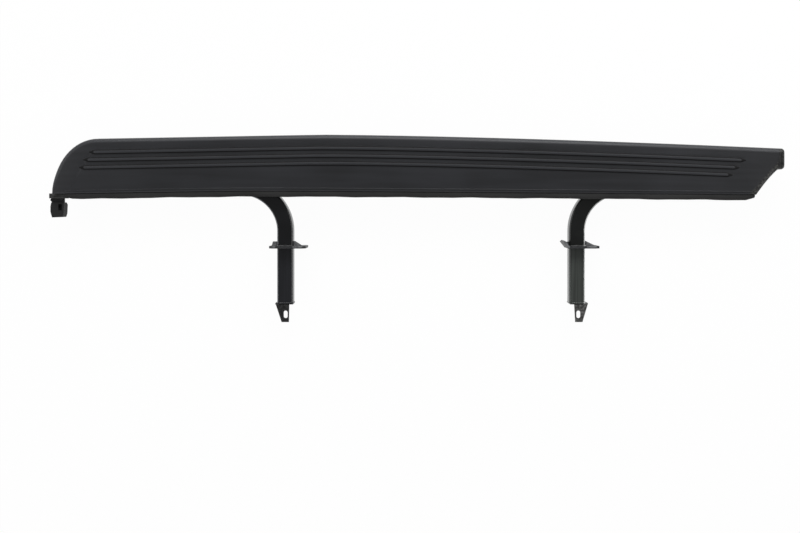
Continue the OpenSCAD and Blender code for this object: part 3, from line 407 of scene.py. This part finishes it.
# the slanting cut of the cover runs from near the end of the seal to the corner of the end
# cap, and the rough end of the cap is its rear face
coverLow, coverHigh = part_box("tread_cover")
capLow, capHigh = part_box("rear_end_cap")
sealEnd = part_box("sill_seal")[1].x
cutStart = Vector((sealEnd + coverLook["cutPastSealMm"] * mm, coverLow.y, 0))
cutEnd = Vector((capHigh.x - coverLook["cutShortOfCapMm"] * mm, capLow.y, 0))
capStart = Vector((capHigh.x, capLow.y, 0))
capEnd = Vector((capHigh.x, capHigh.y, 0))
treadTop = coverHigh.z - coverLook["ribMm"] * mm
capLook = dict(coverLook, deck="#191a1d", deckLight="#232428", speckDark="#141415",
               speckPale="#323230", speckMm=4, speckStretch=(1, 0.3, 0.3))


def tubeMiddle(side):
    # the tube's straight part is at the end of the arm's box that lies away from its leg
    armLow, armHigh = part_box(side + "_arm")
    half = (armHigh.z - armLow.z) / 2
    return armHigh.x - half if side == "front" else armLow.x + half


finishes = {
    "cover": mouldedPolypropylene("moulded_polypropylene", coverLook, treadTop,
                                  cutStart, cutEnd),
    "cap": mouldedPolypropylene("moulded_polypropylene_cap", capLook, treadTop,
                                capStart, capEnd),
    "seal": extrudedRubber("extruded_rubber", sealLook),
    "frontArm": powderCoat("powder_coat_gloss", armLook),
    "rearArm": powderCoat("powder_coat_greenish", rearArmLook),
    "frontTab": powderCoat("powder_coat_speckled", frontTabLook),
    "rearTab": powderCoat("powder_coat_speckled_pale", rearTabLook),
    "frontPlate": powderCoat("powder_coat_pale_top_front",
                             dict(plateLook, tubeX=tubeMiddle("front"))),
    "rearPlate": powderCoat("powder_coat_pale_top_rear",
                            dict(plateLook, tubeX=tubeMiddle("rear"))),
    "rail": powderCoat("dip_coat_black", coatLook),
    "zinc": zincPlate("zinc_plate", zincLook),
    "blackZinc": zincPlate("black_zinc", dict(zincLook, dull="#343436", bright="#4d4e50")),
    "nylon": glassFilledNylon("glass_filled_nylon", nylonLook),
}
nodeFinish = {
    "tread_cover": "cover", "rear_end_cap": "cap", "sill_seal": "seal", "support_rail": "rail",
    "clip_strap": "rail", "front_clip": "nylon", "front_plug": "nylon", "rear_plug": "nylon",
    "front_end_bracket": "frontTab", "rear_end_bracket": "rearTab", "clip_screw": "blackZinc",
    "front_flange": "frontPlate", "rear_flange": "rearPlate", "front_gussets": "frontPlate",
    "rear_gussets": "rearPlate", "front_arm": "frontArm", "front_saddle": "frontArm",
    "rear_arm": "rearArm", "rear_saddle": "rearArm",
}
for name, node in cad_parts.items():
    for slot in node.material_slots:
        slot.material = finishes[nodeFinish.get(name, "zinc")]  # the rest are fixings
print("materials set")


# moulded pieces, shaded as smooth skins

skinLook = {"mergeMm": 0.01, "dissolveMm": 0.001, "sharpAngle": 27}


def smoothSkin(nodeName):
    # a merged copy of a CAD node, so that its rolled edges shade as one curve
    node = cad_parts[nodeName]
    mesh = node.data.copy()
    form = bmesh.new()
    form.from_mesh(mesh)
    bmesh.ops.remove_doubles(form, verts=form.verts, dist=skinLook["mergeMm"] * mm)
    bmesh.ops.dissolve_degenerate(form, edges=form.edges, dist=skinLook["dissolveMm"] * mm)
    form.to_mesh(mesh)
    form.free()
    for layer in [a for a in mesh.attributes if a.name == "custom_normal"]:
        mesh.attributes.remove(layer)
    mesh.shade_smooth()
    mesh.set_sharp_from_angle(angle=math.radians(skinLook["sharpAngle"]))
    skin = bpy.data.objects.new(nodeName + "_skin", mesh)
    bpy.context.scene.collection.objects.link(skin)
    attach(skin, "root")
    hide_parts(nodeName)


smoothSkin("tread_cover")
smoothSkin("sill_seal")
smoothSkin("rear_end_cap")
print("moulded skins made")


# weld beads

weldLook = {"radiusMm": 2.2, "stepMm": 2.6, "ripple": 0.14, "sides": 8, "cornerMm": 5,
            "cornerSteps": 4, "mergeMm": 0.9, "plateMm": 6, "insetMm": 12, "sinkMm": 1}


def finishPiece(form, name, material):
    mesh = bpy.data.meshes.new(name)
    form.to_mesh(mesh)
    form.free()
    mesh.materials.append(material)
    mesh.shade_smooth()
    piece = bpy.data.objects.new(name, mesh)
    bpy.context.scene.collection.objects.link(piece)
    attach(piece, "root")


def nextRing(form, ring):
    # extrudes a ring of edges where it stands, and gives the new points and the new ring
    new = bmesh.ops.extrude_edge_only(form, edges=ring)["geom"]
    verts = [g for g in new if isinstance(g, bmesh.types.BMVert)]
    return verts, [g for g in new if isinstance(g, bmesh.types.BMEdge)]


def rippleRing(verts, count, look):
    # every other ring is fuller; each pair ends a little thinner, so a long bead thins
    centre = sum((v.co for v in verts), Vector()) / len(verts)
    size = 1 + look["ripple"] * (1 if count % 2 else -1)
    for v in verts:
        v.co = centre + (v.co - centre) * size


def beadRun(form, ring, move, look, count):
    # carries an open ring of edges along a straight stretch, one ripple a step
    steps = max(1, round(move.length / (look["stepMm"] * mm)))
    for _ in range(steps):
        verts, ring = nextRing(form, ring)
        bmesh.ops.translate(form, verts=verts, vec=move / steps)
        count += 1
        rippleRing(verts, count, look)
    return ring, count


def beadCorner(form, ring, centre, axis, look, count):
    # turns the ring through a quarter about a corner of the tube
    steps = look["cornerSteps"]
    for _ in range(steps):
        verts, ring = nextRing(form, ring)
        bmesh.ops.rotate(form, verts=verts, cent=centre,
                         matrix=Matrix.Rotation(math.radians(90 / steps), 3, axis))
        count += 1
        rippleRing(verts, count, look)
    return ring, count


def beadRound(form, x, y, z, half, look):
    # a bead round a square tube that runs along Y, with its middle at x, z
    flat = half - look["cornerMm"] * mm
    bmesh.ops.create_circle(form, segments=look["sides"], radius=look["radiusMm"] * mm)
    ring = form.edges[:]
    place = Matrix.Translation((x - flat, y, z + half))
    turn = Matrix.Rotation(math.radians(90), 4, "Y")
    bmesh.ops.transform(form, matrix=place @ turn, verts=form.verts)
    count = 0
    # clockwise seen from the board: right, down, left and up
    turns = [(Vector((1, 0, 0)), (1, 1)), (Vector((0, 0, -1)), (1, -1)),
             (Vector((-1, 0, 0)), (-1, -1)), (Vector((0, 0, 1)), (-1, 1))]
    for direction, (cornerX, cornerZ) in turns:
        ring, count = beadRun(form, ring, direction * 2 * flat, look, count)
        centre = Vector((x + cornerX * flat, y, z + cornerZ * flat))
        ring, count = beadCorner(form, ring, centre, Vector((0, 1, 0)), look, count)
    # merges close points of the thin end; the thicker start stays apart from it
    bmesh.ops.remove_doubles(form, verts=form.verts, dist=look["mergeMm"] * mm)
    bmesh.ops.recalc_face_normals(form, faces=form.faces)


def beadStraight(form, start, end, look):
    # a straight bead with closed ends
    bmesh.ops.create_circle(form, segments=look["sides"], radius=look["radiusMm"] * mm)
    first = form.edges[:]
    move = end - start
    turn = move.to_track_quat("Z", "Y").to_matrix().to_4x4()
    bmesh.ops.transform(form, matrix=Matrix.Translation(start) @ turn, verts=form.verts)
    last, _ = beadRun(form, first, move, look, 0)
    bmesh.ops.holes_fill(form, edges=first + last, sides=look["sides"])
    bmesh.ops.recalc_face_normals(form, faces=form.faces)


def armWelds(side, material, look):
    # both faces of the flange, the end plate, and the saddle on the leg
    armLow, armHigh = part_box(side + "_arm")
    saddleLow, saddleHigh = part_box(side + "_saddle")
    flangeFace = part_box(side + "_flange")[0].y
    flangeBack = flangeFace + look["plateMm"] * mm
    half = (armHigh.z - armLow.z) / 2
    z = (armHigh.z + armLow.z) / 2
    for label, y in (("face", flangeFace), ("back", flangeBack), ("end", armLow.y)):
        form = bmesh.new()
        beadRound(form, tubeMiddle(side), y, z, half, look)
        finishPiece(form, side + "_weld_" + label, material)
    legStart = max(saddleLow.x, armLow.x) + look["insetMm"] * mm
    legEnd = min(saddleHigh.x, armHigh.x) - look["insetMm"] * mm
    height = armHigh.z - look["sinkMm"] * mm
    form = bmesh.new()
    beadStraight(form, Vector((legStart, armHigh.y, height)),
                 Vector((legEnd, armHigh.y, height)), look)
    finishPiece(form, side + "_weld_saddle", material)


armWelds("front", finishes["frontArm"], weldLook)
armWelds("rear", finishes["rearArm"], weldLook)
print("welds laid")


# rubber pad between the clip's neck and the corner of the cover

padLook = dict(sealLook, dark="#161616", pale="#545453", roughness=0.85, blotchMm=5,
               bloomMm=1.5)
pad = {"thickMm": 2.4, "roomMm": 0.3, "sideMm": 0.6, "pastMm": 8, "endMm": 4.5,
       "bevelMm": 0.6, "bevelSteps": 2}


def strapPad():
    clipLow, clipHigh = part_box("front_clip")
    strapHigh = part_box("clip_strap")[1]
    low = Vector((clipLow.x + pad["sideMm"] * mm, clipHigh.y - pad["pastMm"] * mm,
                  clipHigh.z + pad["roomMm"] * mm))
    high = Vector((strapHigh.x, clipHigh.y + pad["endMm"] * mm, low.z + pad["thickMm"] * mm))
    form = bmesh.new()
    bmesh.ops.create_cube(form, size=1)
    bmesh.ops.scale(form, verts=form.verts, vec=high - low)
    bmesh.ops.translate(form, verts=form.verts, vec=(low + high) / 2)
    bmesh.ops.bevel(form, geom=form.edges[:], offset=pad["bevelMm"] * mm,
                    segments=pad["bevelSteps"], profile=0.5, affect="EDGES", material=-1)
    bmesh.ops.recalc_face_normals(form, faces=form.faces)
    finishPiece(form, "strap_pad", extrudedRubber("speckled_rubber", padLook))


strapPad()
print("pad laid")


# floor, world, lamps and camera

studio = {
    "white": "#ffffff", "whiteShare": 0.97, "ambient": 0.2, "floorSize": 14, "floorDropMm": 0.5,
    "lamps": {
        "key": {"place": (0.3, 2.4, 1.5), "size": (3.4, 1.2), "power": 70},
        "fill": {"place": (-0.6, -2.6, 1.9), "size": (3.0, 1.2), "power": 16},
        "left": {"place": (-2.7, 0.2, 1.4), "size": (2.4, 1.0), "power": 18},
        "right": {"place": (2.7, 0.2, 1.4), "size": (2.4, 1.0), "power": 20},
    },
}
white = toLinear(studio["white"])


def whiteFactor(tree, share):
    # share for what the camera, reflections and glass see, none for light that bounces
    path = addNode(tree, "LightPath")
    seen = addNode(tree, "Math", {"operation": "MAXIMUM"},
                   {0: (path, "Is Camera Ray"), 1: (path, "Is Glossy Ray")})
    seenAll = addNode(tree, "Math", {"operation": "MAXIMUM"},
                      {0: (seen, "Value"), 1: (path, "Is Transmission Ray")})
    return addNode(tree, "Math", {"operation": "MULTIPLY"}, {0: (seenAll, "Value"), 1: share})


floorForm = bmesh.new()
bmesh.ops.create_grid(floorForm, x_segments=1, y_segments=1, size=studio["floorSize"] / 2)
bmesh.ops.translate(floorForm, verts=floorForm.verts, vec=(0, 0, -studio["floorDropMm"] * mm))
floorMesh = bpy.data.meshes.new("floor")
floorForm.to_mesh(floorMesh)
floorForm.free()
floor = bpy.data.objects.new("floor", floorMesh)
bpy.context.scene.collection.objects.link(floor)
floorPaint = bpy.data.materials.new("matt_white_floor")
floorPaint.use_nodes = True
paintTree = floorPaint.node_tree
paintTree.nodes.clear()
matt = addNode(paintTree, "BsdfDiffuse", inputs={"Color": white})
glow = addNode(paintTree, "Emission", inputs={"Color": white, "Strength": 1.0})
factor = whiteFactor(paintTree, studio["whiteShare"])
blend = addNode(paintTree, "MixShader", inputs={"Fac": (factor, "Value"), 1: (matt, "BSDF"),
                2: (glow, "Emission")})
addNode(paintTree, "OutputMaterial", inputs={"Surface": (blend, "Shader")})
floorMesh.materials.append(floorPaint)

world = bpy.data.worlds.new("studio")
bpy.context.scene.world = world
world.use_nodes = True
worldTree = world.node_tree
worldTree.nodes.clear()
ambient = addNode(worldTree, "Background", inputs={"Color": white, "Strength": studio["ambient"]})
backdrop = addNode(worldTree, "Background", inputs={"Color": white, "Strength": 1.0})
worldPath = addNode(worldTree, "LightPath")
worldMix = addNode(worldTree, "MixShader", inputs={"Fac": (worldPath, "Is Camera Ray"),
                   1: (ambient, "Background"), 2: (backdrop, "Background")})
addNode(worldTree, "OutputWorld", inputs={"Surface": (worldMix, "Shader")})

for name, lamp in studio["lamps"].items():
    data = bpy.data.lights.new(name, "AREA")
    data.shape = "RECTANGLE"
    data.size, data.size_y = lamp["size"]
    data.energy = lamp["power"]
    light = bpy.data.objects.new(name, data)
    bpy.context.scene.collection.objects.link(light)
    light.location = lamp["place"]
    aim = -Vector(lamp["place"])
    light.rotation_euler = aim.to_track_quat("-Z", "Y").to_euler()

# straight down, as the photograph was taken: the lens looked at the pixel axisPx, which lies
# over axisPlace in the frame, and pixelMm is the size of a pixel at the height of the tread
shot = {"width": 800, "height": 533, "pixelMm": 2.5, "distance": 2.64, "sensor": 36,
        "axisPx": (418, 200), "axisPlace": (6 * mm, 71.5 * mm), "farthest": 50}
cameraData = bpy.data.cameras.new("camera")
cameraData.sensor_width = shot["sensor"]
cameraData.lens = shot["sensor"] * shot["distance"] / (shot["width"] * shot["pixelMm"] * mm)
cameraData.shift_x = (shot["width"] / 2 - shot["axisPx"][0]) / shot["width"]
cameraData.shift_y = (shot["axisPx"][1] - shot["height"] / 2) / shot["width"]
cameraData.clip_end = shot["farthest"]
camera = bpy.data.objects.new("camera", cameraData)
bpy.context.scene.collection.objects.link(camera)
camera.location = (*shot["axisPlace"], treadTop + shot["distance"])
bpy.context.scene.camera = camera
bpy.context.scene.view_settings.view_transform = "Standard"
print("studio set")
